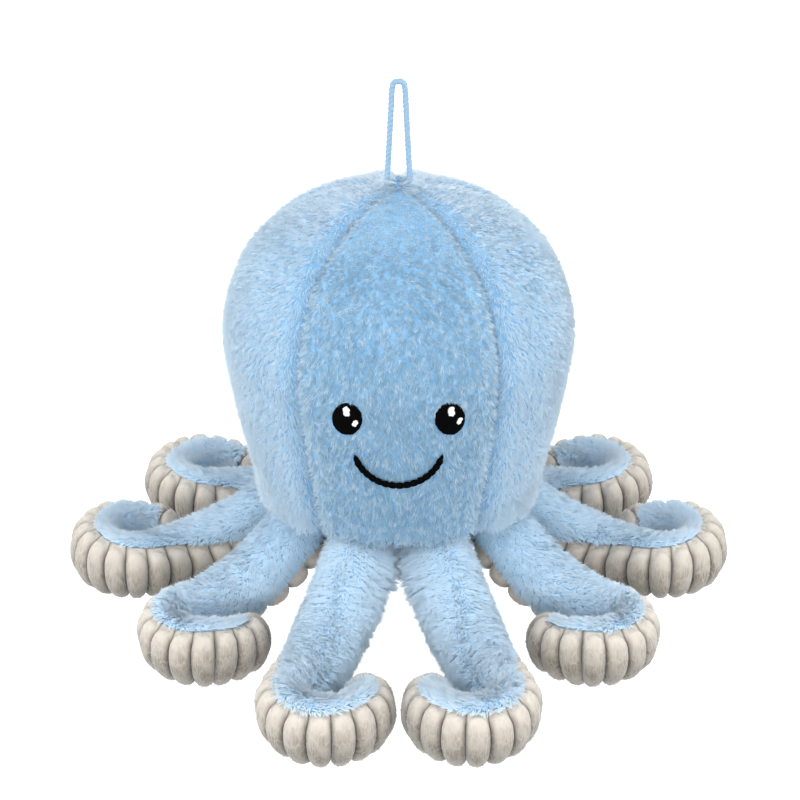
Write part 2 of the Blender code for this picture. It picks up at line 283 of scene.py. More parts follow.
cord_material, tree, shader = new_material("twisted_blue_cord", (0.36, 0.6, 0.86), 0.75)
cord_uv = put(tree, "UVMap", uv_map="cloth").outputs["UV"]
cord_stretch = put(tree, "Mapping", {"Vector": cord_uv, "Scale": (34, 60, 1)})
cord_fibres = noise(tree, cord_stretch.outputs["Vector"], 1.0, 3).outputs["Fac"]
cord_tones = ramp(tree, cord_fibres, [(0.3, (0.13, 0.26, 0.4)), (0.7, (0.32, 0.46, 0.6))])
cord_bumps = bumped(tree, cord_fibres, 0.5, 0.0002)
join(tree, shader, {"Base Color": cord_tones, "Normal": cord_bumps, "Sheen Weight": 0.3})

cord_line = even_curve(loop_route, 340)
hanging_cord = tube("twisted_hanging_loop", cord_line, laid_strands, 24)
sew_on(hanging_cord, cord_material, "hanging_loop")

# Floor and studio light
# A white sheet lies well below the toy, and large soft lights leave hardly any shadow. The
# sheet and the sky look whiter to the camera than the light they throw on the toy.
scene.view_settings.view_transform = "Standard"
floor_drop = 120 * mm
bpy.ops.mesh.primitive_plane_add(size=14, location=(0, 0, cad_box[0].z - floor_drop))
floor = bpy.context.object
floor.name = "studio_floor"
floor_material, tree, shader = new_material("white_floor", (0.93, 0.93, 0.93), 0.9)
floor_seen = put(tree, "LightPath").outputs["Is Camera Ray"]
floor_tone = mixed(tree, floor_seen, (0.46, 0.46, 0.46, 1), (0.97, 0.97, 0.97, 1))
floor_glow = reckoned(tree, "MULTIPLY", floor_seen, 0.25)
join(tree, shader, {"Base Color": floor_tone, "Emission Strength": floor_glow})
shader.inputs["Specular IOR Level"].default_value = 0.1
floor.data.materials.append(floor_material)

scene.world = bpy.data.worlds.new("studio")
scene.world.use_nodes = True
tree = scene.world.node_tree
sky_seen = put(tree, "LightPath").outputs["Is Camera Ray"]
sky_glow = reckoned(tree, "MULTIPLY_ADD", sky_seen, 0.45, 0.6)
join(tree, tree.nodes["Background"], {"Color": (0.96, 0.98, 1, 1), "Strength": sky_glow})
toy_middle = Vector((0, 0, -0.16))
for name, place, size, power in (
    ("top_light", (-0.2, -0.95, 1.35), 1.3, 19),
    ("left_light", (-1.7, -0.45, 0.2), 1.3, 20),
    ("right_light", (1.7, -0.45, 0.2), 1.3, 22.5),
    ("front_light", (-0.1, -1.9, -0.08), 0.6, 14),
    ("rear_light", (0.2, 1.7, 0.6), 1.5, 14),
):
    bpy.ops.object.light_add(type="AREA", location=place)
    lamp = bpy.context.object
    lamp.name = name
    lamp.rotation_euler = (toy_middle - Vector(place)).to_track_quat("-Z", "Y").to_euler()
    lamp.data.size = size
    lamp.data.energy = power

# Head gores
# Five leaf-shaped panels of knitted plush backing, sewn edge to edge from the crown to the
# rim and blown out by the filling, so that each puffs up beside the deep seams.
hang_height = 271.5 * mm
gore_names = ("front", "right", "rear_right", "rear_left", "left")
gore_angle = 2 * pi / len(gore_names)
backing_half_share = 0.4997
head_radius = 85.5 * mm
head_height = 162 * mm
base_height = 64.5 * mm
seam_depth_share = 0.055
seam_groove = 3.4 * mm
seam_puff = 1.5 * mm
pile_depth = 1.6 * mm
backing_thickness = 1.2 * mm
# Radius and height of the head's outline from the crown down, as shares of the sizes above
head_profile = (
    (0.0, 1.0), (0.142, 0.968), (0.355, 0.944), (0.608, 0.882), (0.836, 0.781),
    (0.95, 0.666), (1.0, 0.528), (0.972, 0.385), (0.897, 0.185), (0.805, 0.0),
)
head_line = even_curve(
    [(r * head_radius, base_height + h * head_height - hang_height) for r, h in head_profile], 241
)
head_slope = unit(np.gradient(head_line, axis=0))
head_facing = np.column_stack([-head_slope[:, 1], head_slope[:, 0]])


def along_profile(down, table):
    """The columns of a table of the head's outline at a share of the way down."""
    place, index = down * (len(table) - 1), np.arange(len(table))
    return [np.interp(place, index, column) for column in table.T]


def seam_share(azimuth):
    """How far an azimuth is on the way from the middle of its gore to the seam."""
    turn = azimuth / gore_angle
    return 2 * np.abs(turn - np.round(turn))


def round_axis(radius, azimuth, height):
    """Points at a radius, at an azimuth from the front and at a height."""
    return np.stack([radius * np.sin(azimuth), -radius * np.cos(azimuth), height], -1)


def head_skin(azimuth, down, lift, drawn_in=1.0):
    """The head's surface at an azimuth and a share of the way down, moved out by lift. The
    seams draw it in, and it puffs up beside them."""
    radius, height = along_profile(down, head_line)
    out, rise = along_profile(down, head_facing)
    share = seam_share(azimuth)
    to_seam = (1 - share) * radius * gore_angle / 2
    seam = seam_puff * bell(to_seam - 8 * mm, 5 * mm) - seam_groove * bell(to_seam, 3.4 * mm)
    lift = lift + seam * fade(radius, 8 * mm, 42 * mm) * drawn_in
    radius = radius * (1 - seam_depth_share * share**3) + out * lift
    return round_axis(radius, azimuth, height + rise * lift)


def thicken(piece, thickness, offset):
    """Give the active sheet of cloth its thickness."""
    wall = piece.modifiers.new("backing", "SOLIDIFY")
    wall.thickness = thickness
    wall.offset = offset
    bpy.ops.object.modifier_apply(modifier="backing")


def gore_backing(name, index):
    """One gore's backing, from a grid laid over the dome and then thickened inwards."""
    bpy.ops.mesh.primitive_grid_add(x_subdivisions=36, y_subdivisions=60, size=1)
    panel = bpy.context.object
    panel.name = panel.data.name = name
    x, y, _ = points_of(panel).T
    azimuth = (index + 2 * x * backing_half_share) * gore_angle
    place_points(panel, head_skin(azimuth, 0.5 - y, -pile_depth))
    bpy.ops.object.mode_set(mode="EDIT")
    bpy.ops.mesh.select_all(action="SELECT")
    bpy.ops.mesh.remove_doubles(threshold=0.00002)
    bpy.ops.mesh.flip_normals()
    bpy.ops.object.mode_set(mode="OBJECT")
    bpy.ops.object.shade_smooth()
    thicken(panel, backing_thickness, -1)
    return panel


nap = bpy.data.node_groups.new("cloth_nap", "ShaderNodeTree")
for name, way, kind in (
    ("Light", "INPUT", "NodeSocketColor"), ("Deep", "INPUT", "NodeSocketColor"),
    ("Scale", "INPUT", "NodeSocketFloat"), ("Depth", "INPUT", "NodeSocketFloat"),
    ("Color", "OUTPUT", "NodeSocketColor"), ("Normal", "OUTPUT", "NodeSocketVector"),
):
    nap.interface.new_socket(name, in_out=way, socket_type=kind)
nap_in = nap.nodes.new("NodeGroupInput").outputs
nap_place = put(nap, "TexCoord").outputs["Object"]
nap_fine = noise(nap, nap_place, nap_in["Scale"], 4, 0.6).outputs["Fac"]
nap_wide = noise(nap, nap_place, 60, 3).outputs["Fac"]
nap_tone = ranged(nap, reckoned(nap, "MULTIPLY_ADD", nap_fine, nap_wide, 0.1), 0.22, 0.46)
nap_colour = mixed(nap, nap_tone, nap_in["Deep"], nap_in["Light"])
nap_bumps = bumped(nap, nap_fine, 0.8, nap_in["Depth"])
join(nap, nap.nodes.new("NodeGroupOutput"), {"Color": nap_colour, "Normal": nap_bumps})


def napped(name, light, deep, scale=900.0, depth=0.0004, roughness=0.95, sheen=0.2):
    """A material with the short nap of cloth."""
    material, tree, shader = new_material(name, light, roughness)
    inputs = {"Light": (*light, 1), "Deep": (*deep, 1), "Scale": scale, "Depth": depth}
    cloth = put(tree, "Group", inputs, node_tree=nap).outputs
    join(tree, shader, {"Base Color": cloth["Color"], "Normal": cloth["Normal"]})
    join(tree, shader, {"Sheen Weight": sheen, "Specular IOR Level": 0.2})
    return material


blue_backing = napped("blue_plush_backing", (0.24, 0.44, 0.64), (0.16, 0.33, 0.53))
for index, place in enumerate(gore_names):
    panel = gore_backing(f"plush_gore_{place}", index)
    sew_on(panel, blue_backing, f"head_gore_{place}")

# Pile of the head
# Long soft polyester pile, knitted into the backing and brushed down from the crown. It gathers in
# small locks, which stand out from the shade between them. That shade is partly painted, darker at
# the edges of the locks and at the tufts' roots. Every tuft is a closed spike.
eye_height = 136 * mm - hang_height
eye_spacing = 47.6 * mm
eye_half_size = (7 * mm, 8.4 * mm)
eye_tilt = radians(3)
eye_slant = 0.14
smile_radius = 20.6 * mm
smile_height = eye_height - 35.2 * mm
smile_half_angle = radians(78)
lock_table = np.random.default_rng(11).random((4096, 5))
lattice_keys = (73856093, 19349663, 83492791)
scatter_steps = (0.7548776662466927, 0.5698402909980532)


def lock_of(points, size):
    """The middle of each point's lock, the lock's random numbers and how far out in it the
    point is. The locks are the cells of a shaken lattice."""
    cell = np.floor(points / size).astype(np.int64)
    best = np.full(len(points), np.inf)
    middle, number = np.zeros_like(points), np.zeros(len(points), np.int64)
    for offset in np.stack(np.meshgrid(*[(-1, 0, 1)] * 3), -1).reshape(-1, 3):
        near = cell + offset
        x, y, z = (near * lattice_keys).T
        key = (x ^ y ^ z) & (len(lock_table) - 1)
        centre = (near + 0.15 + 0.7 * lock_table[key, :3]) * size
        gap = np.linalg.norm(points - centre, axis=1)
        closer = gap < best
        best[closer], middle[closer], number[closer] = gap[closer], centre[closer], key[closer]
    return middle, lock_table[number], best / size


def even_scatter(count, seed):
    """Evenly spread places on a unit square, a little shaken."""
    index = (np.arange(count) + 0.5)[:, None]
    shaken = np.random.default_rng(seed).normal(0, 0.35 / sqrt(count), (count, 2))
    return (index * scatter_steps + shaken) % 1.0


def swirl(points, size):
    """A slow wandering number from -1 to 1, for the drift of the pile."""
    x, y, z = (points / size).T
    one_way, other_way = x + 1.7 * np.sin(y * 0.8 + 1) + z, 1.3 * y - z + 2 + np.sin(x * 1.1)
    return (np.sin(one_way) + np.sin(other_way)) / 2


def pile(
    name, material, skin, places, side, length, lean, lock_size, width, seed, tone=0.6,
    contrast=1.0, gather=0.6, loose=0.3, bristle=0.45, comb_of=None, shade_skin=None, keep=None,
    longer=None, painted_light=None, slot="blue_plush", arm=None,
):
    """Sew on a pile over skin(across, down): a tuft at each place, brushed down or the way that
    comb_of says. Other functions say how many times longer it is, and how much painted light or
    shade it gets. It takes light like shade_skin, and each tuft for itself as far as bristle says."""
    rng = np.random.default_rng(seed)
    across, down = places.T
    step = 1e-3
    root = skin(across, down)
    right, comb = skin(across + step, down) - root, unit(skin(across, down + step) - root)
    normal = unit(np.cross(comb, right)) * side
    right = np.cross(normal, comb) * side
    shown = normal
    if shade_skin is not None:
        base = shade_skin(across, down)
        below, beside = shade_skin(across, down + step), shade_skin(across + step, down)
        shown = unit(normal + 1.5 * unit(np.cross(below - base, beside - base)) * side)
    # Which way each tuft lies, how long it is and where its tip ends
    middle, luck, off = lock_of(root, lock_size)
    off = np.clip(off, 0, 1)
    ahead, aside = (1.0, 0.0) if comb_of is None else comb_of(across, down)
    stray = rng.normal(0, loose, (2, len(root)))
    aside = aside + swirl(root, 11 * mm) * 0.35 + (luck[:, 3] - 0.5) * 1.6 + stray[0]
    tangent = unit(comb * (ahead + stray[1])[:, None] + right * aside[:, None])
    lean = lean(across, down)[:, None] if callable(lean) else lean
    uneven = rng.normal(0, 0.15, (len(root), 1))
    tilt = np.radians(lean) * (1 + 0.35 * (luck[:, 4:5] - 0.5) + uneven)
    way = normal * np.cos(tilt) + tangent * np.sin(tilt)
    size = length * (0.82 + 0.36 * luck[:, 4:5]) * (1 - 0.35 * off[:, None] ** 2)
    size = size * (1 + rng.normal(0, 0.12, (len(root), 1)))
    if longer is not None:
        size = size * longer(across, down)[:, None]
    pull = middle - root
    pull -= normal * np.einsum("ij,ij->i", pull, normal)[:, None]
    tip = root + way * size + pull * gather
    # A random tone for each lock and each tuft, with painted shade towards the edge of each lock,
    # where the gaps between the locks fall in shade
    shade = 0.4 * (luck[:, 2] - 0.5) - 0.5 * off**2 + rng.normal(0.1, 0.16, len(root))
    # The painted light and shade: paler or darker where light or shade falls on the piece
    shade = tone + contrast * shade + (0 if painted_light is None else painted_light(across, down))
    if keep is not None:
        kept = keep(root) & keep(tip) & keep((root + tip) / 2)
        root, tip, shown, shade = root[kept], tip[kept], shown[kept], shade[kept]
    # The spikes: three points round each root and one at the tip
    count = len(root)
    way = unit(tip - root)
    one_side = unit(np.cross(way, unit(rng.normal(0, 1, (count, 3)))))[:, None]
    other_side = np.cross(way[:, None], one_side)
    turns = (np.array([0, 2, 4]) * pi / 3)[:, None]
    spread = one_side * np.cos(turns) + other_side * np.sin(turns)
    points = np.concatenate([root[:, None] + spread * width / 2, tip[:, None]], 1).reshape(-1, 3)
    faces = np.array([(0, 1, 3), (1, 2, 3), (2, 0, 3), (0, 2, 1)])
    faces = (faces[None] + 4 * np.arange(count)[:, None, None]).reshape(-1, 3)
    shade = np.clip(shade, 0.02, 0.98)[:, None] + np.array([-0.004, 0, 0.004, 0.002])
    rise = np.tile([0.01, 0.02, 0.01, 0.99], count)
    piece = mesh_piece(name, points, faces, np.column_stack([shade.ravel(), rise]), "OFBake")
    facing = np.concatenate([shown[:, None] + bristle * spread, (shown + 0.3 * way)[:, None]], 1)
    piece.data.normals_split_custom_set_from_vertices(unit(facing).reshape(-1, 3))
    sew_on(piece, material, arm=arm)


def pile_material(name, deep, middle, pale, root, sheen):
    """Pile coloured by its OFBake map: the shade runs across it, and the way to the tip up it. The
    roots are painted darker, as painted shade for the gaps between the tufts.
    """
    material, tree, shader = new_material(name, middle, 0.85)
    place = put(tree, "UVMap", uv_map="OFBake").outputs["UV"]
    parts = put(tree, "SeparateXYZ", {"Vector": place}).outputs
    tones = ramp(tree, parts["X"], [(0.1, deep), (0.5, middle), (0.9, pale)])
    # Painted shade at the roots: darker towards them, where the gaps between the tufts are in shade
    colour = mixed(tree, ranged(tree, parts["Y"], 0.12, 0.85), (*root, 1), tones)
    join(tree, shader, {"Base Color": colour, "Specular IOR Level": 0.1, "Sheen Weight": sheen})
    join(tree, shader, {"Sheen Roughness": 0.5, "Sheen Tint": (0.78, 0.91, 1, 1)})
    return material


def clear_of_face(points):
    """Whether each point is clear of the eyes and of the mouth."""
    x, y, z = points.T
    clear = np.ones(len(points), bool)
    for side in (-1, 1):
        across, rise = x - side * eye_spacing / 2, z - eye_height
        rise = rise + side * eye_slant * across
        turn = -side * eye_tilt
        level = across * cos(turn) + rise * sin(turn)
        upright = rise * cos(turn) - across * sin(turn)
        clear &= (level / eye_half_size[0]) ** 2 + (upright / eye_half_size[1]) ** 2 > 0.94
    rise = z - smile_height - smile_radius
    from_arc = np.abs(np.hypot(x, rise) - smile_radius)
    on_arc = np.abs(np.arctan2(x, -rise)) < smile_half_angle + 0.03
    clear &= (from_arc > 1.25 * mm) | ~on_arc
    return clear | (y > 0)


def seam_distance(across, down):
    """How far a place on a gore is from its seam and from the head's axis."""
    radius = along_profile(down, head_line)[0]
    return (0.5 - np.abs(across - 0.5)) * radius * gore_angle, radius


def over_seam(across, down):
    """How the pile is brushed, down and out over the seam beside it."""
    to_seam = seam_distance(across, down)[0]
    return 1.0, 0.8 * np.sign(across - 0.5) * bell(to_seam, 4 * mm)


def fuller_rim(across, down):
    """Longer pile where the gores end."""
    return 1 + 0.6 * fade(down, 0.93, 1)


def fuller_front(across, down):
    """Longer pile at the top of the front gore, before the feet of the loop."""
    return 1 + 0.25 * fade(down, 0.16, 0.06)


# One plush pile in tones painted for the light. The front gore's copy is darker, painted shade for
# looking straight into the combed pile. The paler copy, for the side gores, crown, rim and base, is
# painted light for the sheen and side light on them
front_shaded_pile = pile_material(
    "front_shaded_plush_pile", (0.17, 0.33, 0.49), (0.34, 0.52, 0.68), (0.6, 0.75, 0.85),
    (0.17, 0.34, 0.5), 0.75,
)
pale_lit_pile = pile_material(
    "pale_lit_plush_pile", (0.36, 0.57, 0.78), (0.54, 0.7, 0.84), (0.75, 0.83, 0.91),
    (0.32, 0.54, 0.76), 1.0,
)
front_pile = {
    "tone": 0.5, "contrast": 1.5, "gather": 0.64, "longer": fuller_front, "keep": clear_of_face
}
side_pile = {"tone": 0.46, "contrast": 0.25, "gather": 0.45, "longer": fuller_rim, "bristle": 0.2}
tuft_width = 0.56 * mm
lock_width = 2.6 * mm
down_share = np.linspace(0, 1, len(head_line))
down_area = np.append(0, np.cumsum((head_line[1:, 0] + head_line[:-1, 0]) / 2))
for index, place in enumerate(gore_names):
    front = place == "front"
    spots = even_scatter(40000, 20 + index)
    spots[:, 1] = np.interp(spots[:, 1], down_area / down_area[-1], down_share)

    def gore_skin(across, down, drawn_in=1.0, index=index):
        return head_skin((index + across - 0.5) * gore_angle, down, -pile_depth, drawn_in)

    def smoother_skin(across, down, skin=gore_skin):
        return skin(across, down, 0.15)

    # Painted light and shade on the gores' pile: paler towards the crown, a painted highlight on
    # the front gore's puffed edges, painted shade at its point, and painted shade in the seam
    # grooves
    def painted_seam_light(across, down, front=front):
        to_seam, radius = seam_distance(across, down)
        crown = (0.7 if front else 0.4) * fade(down, 0.32, 0.1)
        if front:
            crown = crown + 0.2 * bell(to_seam - 8 * mm, 6 * mm) - 0.25 * fade(down, 0.14, 0.08)
        return crown - 0.25 * bell(to_seam, 3 * mm) * fade(radius, 0, 40 * mm)

    def flatter_crown(across, down, front=front):
        return 50 + (24 if front else 10) * fade(down, 0.34, 0.14)

    pile(
        f"pile_gore_{place}", front_shaded_pile if front else pale_lit_pile, gore_skin, spots, 1,
        5.2 * mm, flatter_crown, lock_width, tuft_width, 30 + index, comb_of=over_seam,
        shade_skin=smoother_skin, painted_light=painted_seam_light, **(front_pile if front else side_pile),
    )


def crown_skin(around, out):
    """The small round place where the gores' points meet, round the loop's feet."""
    turn, radius = 2 * pi * around, np.sqrt(out) * 11 * mm
    height = np.interp(radius, head_line[:, 0], head_line[:, 1])
    return round_axis(radius, turn, height - 2 * mm)


# The crown's pile has a paler tone, painted light where the top light falls, and painted shade
# towards its front edge, next to the front gore
pile(
    "pile_crown", pale_lit_pile, crown_skin, even_scatter(2200, 50), 1, 5 * mm,
    lambda around, out: 34 + 36 * out, lock_width, tuft_width, 51,
    tone=0.72, contrast=0.5, gather=0.4,
    longer=lambda around, out: (1.3 + 0.4 * np.cos(2 * pi * around)) * (1 - 0.45 * out),
    painted_light=lambda around, out: -0.25 * out * np.clip(np.cos(2 * pi * around), 0, 1),
)


def rim_skin(around, out, lift=-pile_depth, drawn_in=1.0):
    """The last few millimetres of the gores above the rim, all the way round."""
    return head_skin(around * 2 * pi, 0.95 + 0.05 * out, lift, drawn_in)


def off_front(around):
    """From 0 on the front gore's part of the rim to 1 on the rest of it."""
    return fade(np.abs((around + 0.5) % 1 - 0.5), 0.085, 0.125)


# Along the front gore the rim's pile is painted darker, with the same painted shade as the front
# gore's
pile(
    "pile_rim", pale_lit_pile, rim_skin, even_scatter(12000, 55), 1, 8.6 * mm, 62, lock_width,
    tuft_width, 56, tone=0.5, contrast=0.8, loose=0.5,
    shade_skin=lambda around, out: rim_skin(around, out, 0, 0),
    longer=lambda around, out: 0.4 + 0.6 * off_front(around),
    painted_light=lambda around, out: 0.4 * off_front(around) - 0.4,
)

# Eyes
# Ovals of black satin stitch laid over the front gore, each with two small white highlights
# stitched on top. The rows of thread run slantwise.
eye_bottom = -3 * mm
eye_top = 1.1 * mm
eye_dome = 0.6 * mm


def satin_thread(name, colour, roughness, shine, stops):
    """Thread laid in rows side by side, with tones from a ramp."""
    material, tree, shader = new_material(name, colour, roughness)
    place = put(tree, "TexCoord").outputs["Object"]
    turn = {"Vector": place, "Rotation": (0, radians(55), 0), "Scale": (2600, 60, 260)}
    turned = put(tree, "Mapping", turn).outputs["Vector"]
    rows = noise(tree, turned, 1.0, 2).outputs["Fac"]
    join(tree, shader, {"Base Color": ramp(tree, rows, stops), "Specular IOR Level": shine})
    join(tree, shader, {"Normal": bumped(tree, rows, 0.7, 0.0002)})
    return material


thread_black = satin_thread(
    "black_satin_thread", (0.004, 0.004, 0.005), 0.6, 0.02,
    [(0.35, (0.0004, 0.0004, 0.0004)), (0.75, (0.0025, 0.0025, 0.003))],
)
thread_white = satin_thread(
    "white_satin_thread", (0.93, 0.93, 0.94), 0.5, 0.5,
    [(0.3, (0.78, 0.8, 0.83)), (0.6, (0.97, 0.97, 0.97))],
)


def on_face(x, z, lift):
    """Points of the front gore at places across and up, moved straight out by lift."""
    below = head_line[:, 1] <= head_line[:, 1].max() - 20 * mm
    radius = np.interp(z, head_line[below][::-1, 1], head_line[below][::-1, 0])
    azimuth = np.arcsin(x / radius)
    radius = radius * (1 - seam_depth_share * (2 * np.abs(azimuth) / gore_angle) ** 3) + lift
    return round_axis(radius, azimuth, z)


def stitched_oval(name, centre, half_size, tilt, low, high, dome, seed, ragged_share, waist, slant):
    """A padded oval of stitches with a rounded top, slightly ragged edges, a waist and a
    straight side. It slants down by a share of the way across."""
    rings, sides = 12, 72
    rng = np.random.default_rng(seed)
    angle = np.linspace(0, 2 * pi, sides, endpoint=False)
    ragged = 1 + ragged_share * rng.normal(0, 1, sides) - waist * np.cos(angle) ** 4
    rows = []
    for ring in np.sin(np.linspace(0, pi / 2, rings + 1))[1:]:
        rise = high + dome * sqrt(max(0, 1 - ring**2))
        rows.append((ring * ragged, np.full(sides, rise)))
    rows.append((ragged * 1.01, np.full(sides, (high + low) / 2)))
    rows.append((ragged * 1.01, np.full(sides, low)))
    middle = np.array([centre[0]]), np.array([centre[1]])
    points = [on_face(*middle, high + dome)]
    for out, lift in rows:
        across, along = half_size[0] * out * np.cos(angle), half_size[1] * out * np.sin(angle)
        x = centre[0] + across * cos(tilt) - along * sin(tilt)
        z = centre[1] + across * sin(tilt) + along * cos(tilt) - slant * (x - centre[0])
        points.append(on_face(x, z, lift))
    points = np.vstack([*points, on_face(*middle, low)])
    ring = 1 + np.arange(len(rows) * sides).reshape(-1, sides)
    after = np.roll(ring, -1, axis=1)
    top, bottom = np.zeros_like(ring[:1]), np.full_like(ring[:1], len(points) - 1)
    faces = [
        (top, ring[:1], after[:1]), (ring[:-1], ring[1:], after[1:]),
        (ring[:-1], after[1:], after[:-1]), (ring[-1:], bottom, after[-1:]),
    ]
    faces = np.vstack([np.stack(corners, -1).reshape(-1, 3) for corners in faces])
    oval = mesh_piece(name, points, faces)
    face_out(oval)
    return oval


for place, side in (("left", -1), ("right", 1)):
    centre = (side * eye_spacing / 2, eye_height)
    eye = stitched_oval(
        f"stitched_eye_{place}", centre, eye_half_size, -side * eye_tilt, eye_bottom, eye_top,
        eye_dome, 5, 0.016, 0, side * eye_slant,
    )
    sew_on(eye, thread_black, f"eye_{place}")
    for name, across, rise, radius, glint_tilt in (
        ("upper", 0.2 * mm, 4.7 * mm, 2.4 * mm, 0.1),
        ("lower", 4.1 * mm, -1.1 * mm, 1.75 * mm, -0.4),
    ):
        reach = hypot(across / eye_half_size[0], rise / eye_half_size[1])
        under = eye_top + eye_dome * sqrt(max(0, 1 - reach**2))
        glint = stitched_oval(
            f"stitched_glint_{name}_{place}", (centre[0] + across, centre[1] + rise),
            (0.85 * radius, radius), glint_tilt, under - 0.5 * mm, under + 0.15 * mm, 0.3 * mm,
            7 + side, 0.1, 0.35, 0,
        )
        sew_on(glint, thread_white, f"eye_glint_{name}_{place}")

# Smile
# A line of thick black stitches, worked as an arc across the front gore. The thread is wound
# over itself, so that it has fine slanting ridges.
smile_thread_radius = 1.45 * mm
stitch_pitch = 3.4 * mm
smile_angle = np.linspace(-smile_half_angle, smile_half_angle, 420)
smile_rise = smile_height + smile_radius * (1 - np.cos(smile_angle))
smile_line = on_face(smile_radius * np.sin(smile_angle), smile_rise, 1.5 * mm)


def wound_thread(reach, angle):
    """Long stitches that neck where they meet, with fine ridges, thin at both ends."""
    end = np.minimum(reach, reach.max() - reach)
    taper = np.clip(end / (3.4 * mm), 0.04, 1) ** 0.6
    neck = 0.76 + 0.32 * np.abs(np.sin(pi * reach / stitch_pitch)) ** 0.6
    ridges = 1 + 0.05 * np.cos(5 * angle + 2 * pi * reach / stitch_pitch)
    return smile_thread_radius * taper * neck * ridges


mouth = tube("stitched_smile", smile_line, wound_thread, 16)
sew_on(mouth, thread_black, "smile")

# Filling of the head
# Loose polyester fibre, packed into one lobed bulb that holds the gores out.
filling_depth = 6.6 * mm
filling_floor = base_height + 5.3 * mm - hang_height
filling_side_share = 0.8
fibre_material = napped("white_fibre", (0.9, 0.9, 0.88), (0.72, 0.72, 0.7), 300.0, 0.0008, 1.0, 0.1)
bpy.ops.mesh.primitive_uv_sphere_add(segments=80, ring_count=48, radius=1)
bulb = bpy.context.object
bulb.name = bulb.data.name = "fibre_bulb"
ball = points_of(bulb)
azimuth = np.arctan2(ball[:, 0], -ball[:, 1])
share = np.arccos(np.clip(ball[:, 2], -1, 1)) / pi
inside = head_line - head_facing * filling_depth
inside = inside[(inside[:, 0] > 0) & (inside[:, 1] > filling_floor)]
inside = np.vstack([(0, inside[0, 1]), inside, (inside[-1, 0], filling_floor)])
radius, height = along_profile(np.clip(share / filling_side_share, 0, 1), inside)
floor_radius = inside[-1, 0] * (1 - share) / (1 - filling_side_share)
radius = np.where(share > filling_side_share, floor_radius, radius)
radius = np.where(np.hypot(ball[:, 0], ball[:, 1]) < 1e-4, 0, radius)
radius = radius * (1 - seam_depth_share * seam_share(azimuth) ** 3)
ball = round_axis(radius, azimuth, height)
place_points(bulb, ball * (1 + 0.006 * swirl(ball, 7 * mm))[:, None])
bulb.data.shade_smooth()
sew_on(bulb, fibre_material, "head_filling")

# Base panel
# A flat piece of the same plush that closes the head below, sewn all round inside the rim.
# The arms are sewn in over it, and its pile hangs straight down between them.
panel_inset = 6.9 * mm
panel_thickness = 2.4 * mm
panel_height = base_height - hang_height


def base_skin(around, out):
    """The underside of the base panel, from its middle out to the lobed rim."""
    azimuth = 2 * pi * around
    rim = head_line[-1, 0] * (1 - seam_depth_share * seam_share(azimuth) ** 3) - panel_inset
    height = panel_height + panel_thickness / 2 - 0.8 * mm * (1 - out**2)
    return round_axis(rim * np.maximum(out, 1e-3), azimuth, height)


bpy.ops.mesh.primitive_circle_add(vertices=120, radius=1, fill_type="TRIFAN")
base = bpy.context.object
base.name = base.data.name = "plush_base"
bpy.ops.object.mode_set(mode="EDIT")
bpy.ops.mesh.select_all(action="SELECT")
bpy.ops.mesh.subdivide(number_cuts=3)
bpy.ops.object.mode_set(mode="OBJECT")
x, y, _ = points_of(base).T
place_points(base, base_skin(np.arctan2(x, -y) / (2 * pi), np.hypot(x, y)))
thicken(base, panel_thickness, 1)
base.data.shade_smooth()
face_out(base)
sew_on(base, blue_backing, "base_panel")
base_spots = even_scatter(9000, 60)
base_spots[:, 1] = np.sqrt(base_spots[:, 1])
pile(
    "pile_base", pale_lit_pile, base_skin, base_spots, -1, 4.5 * mm, 25, 3.4 * mm, 0.8 * mm, 61
)

# Arms
# Eight stuffed arms, sewn in under the rim at their round roots, each with its end curled
# sideways. These are the same lines and sizes for the arm's top, its pile and its underside.
root_radius = 18.3 * mm
root_circle_radius = 54 * mm
root_height = base_height - 0.3 * mm - root_radius
drop_length = 80 * mm
rib_pitch = 12 * mm
roll_start = 12 * mm
curl_roll = radians(56)
tip_roll = radians(32)
steps_per_rib = 24
# Root azimuth, aim, swing azimuth, bend, hand, run, curl, first and last curl radius, rise
arm_pairs = {
    "front": (21, 22, 0, -4, 1, 98 * mm, 73 * mm, 17 * mm, 21.2 * mm, 0),
    "front_side": (66.5, 49, 55, 13, 1, 72 * mm, 78 * mm, 17.7 * mm, 22.6 * mm, 1.5 * mm),
    "rear_side": (112, 91, 95, 40, -1, 87 * mm, 90 * mm, 19.2 * mm, 24.4 * mm, 2.5 * mm),
    "rear": (157.5, 124, 127, 46, -1, 88.5 * mm, 96 * mm, 21.7 * mm, 24.4 * mm, 2 * mm),
}
# Place (0 to 1 along the run, 1 to 2 along the curl), half the width and half the height
arm_sizes = np.array([
    (0.0, 18.3, 18.3), (0.45, 19.2, 16.5), (0.8, 17.8, 16.5), (1.0, 15.8, 17.2),
    (1.15, 13.8, 17.8), (1.7, 13, 17.4), (2.0, 11.8, 14.5),
])
# Where the cream comes up highest on the outer side of the curl, over how long, and by what
# share of the way to the middle of the pile
cream_rises = {
    "front": (1.0, 0.2, 0.2), "front_side": (1.02, 0.22, 0.28),
    "rear_side": (1.5, 0.28, 0.42), "rear": (1.5, 0.3, 0.45),
}
# The last four columns in the table of an arm's line
width_column, height_column, rib_column, cream_column = 12, 13, 14, 15
up = np.array((0.0, 0.0, 1.0))


def outward(azimuth, side):
    """The level direction at an azimuth from the front, towards the right for side 1."""
    turn = radians(azimuth)
    return np.array((side * sin(turn), -cos(turn), 0.0))


